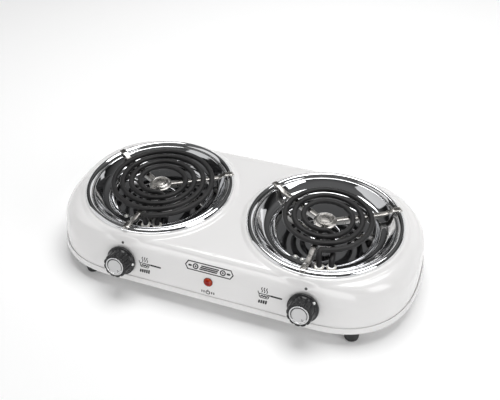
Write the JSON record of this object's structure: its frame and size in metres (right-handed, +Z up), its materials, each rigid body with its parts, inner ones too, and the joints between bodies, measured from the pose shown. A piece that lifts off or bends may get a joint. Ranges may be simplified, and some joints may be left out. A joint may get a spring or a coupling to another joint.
{
  "type": "double hot plate burner",
  "caption": "Table-top electric range with two open spiral elements over bright drip pans, leaning knob panel, pilot lamp and rubber feet.",
  "frame": {"origin": "bottom centre of the box, on the table", "axes": "+X to the right along the two burners, -Y towards the cook, +Z up"},
  "size_m": [0.4918, 0.2623, 0.0893],
  "materials": {
    "white_enamel": "gloss",
    "rubber": "matt",
    "zinc": "satin",
    "chrome": "polished",
    "bright_pan": "polished",
    "shield": "satin",
    "element": "satin oxide",
    "support": "satin",
    "ceramic": "matt",
    "brass": "satin",
    "phenolic": "matt",
    "wire": "matt",
    "knob_plastic": "satin",
    "knob_metal": "satin",
    "spring_steel": "blued",
    "lamp_red": "gloss",
    "bulb_glass": "clear",
    "black_nylon": "matt"
  },
  "bodies": {
    "base": {"top_housing": "white_enamel", "base_pan": "white_enamel", "foot_front_left": "rubber", "foot_front_right": "rubber", "foot_rear_left": "rubber", "foot_rear_right": "rubber", "foot_screws": "zinc", "foot_nuts": "zinc", "base_screws": "zinc", "trim_ring_left": "chrome", "drip_pan_left": "bright_pan", "heat_shield_left": "shield", "coil_left": "element", "coil_leads_left": "element", "coil_support_left": "support", "insulators_left": "ceramic", "terminals_left": "brass", "pan_screws_left": "zinc", "thermal_cutoff_left": "phenolic", "burner_wires_left": "wire", "thermostat_frame_left": "zinc", "thermostat_stack_left": "ceramic", "thermostat_nut_left": "zinc", "trim_ring_right": "chrome", "drip_pan_right": "bright_pan", "heat_shield_right": "shield", "coil_right": "element", "coil_leads_right": "element", "coil_support_right": "support", "insulators_right": "ceramic", "terminals_right": "brass", "pan_screws_right": "zinc", "thermal_cutoff_right": "phenolic", "burner_wires_right": "wire", "thermostat_frame_right": "zinc", "thermostat_stack_right": "ceramic", "thermostat_nut_right": "zinc", "lamp_lens": "lamp_red", "lamp_holder": "phenolic", "lamp_bulb": "bulb_glass", "cord_gland": "black_nylon", "terminal_block": "ceramic", "earth_screw": "zinc", "supply_wires": "wire"},
    "knob_left": {"shaft_left": "brass", "knob_left": "knob_plastic", "knob_cap_left": "knob_metal", "knob_clip_left": "spring_steel"},
    "knob_right": {"shaft_right": "brass", "knob_right": "knob_plastic", "knob_cap_right": "knob_metal", "knob_clip_right": "spring_steel"}
  },
  "joints": [
    {"name": "knob_left_turn", "type": "hinge", "parent": "base", "child": "knob_left", "pos_m": [-0.117, -0.10867, 0.046], "axis": [0, 0.9672, -0.2542], "range_deg": [-90, 180]},
    {"name": "knob_right_turn", "type": "hinge", "parent": "base", "child": "knob_right", "pos_m": [0.124, -0.10867, 0.046], "axis": [0, 0.9672, -0.2542], "range_deg": [-48, 222]}
  ]
}
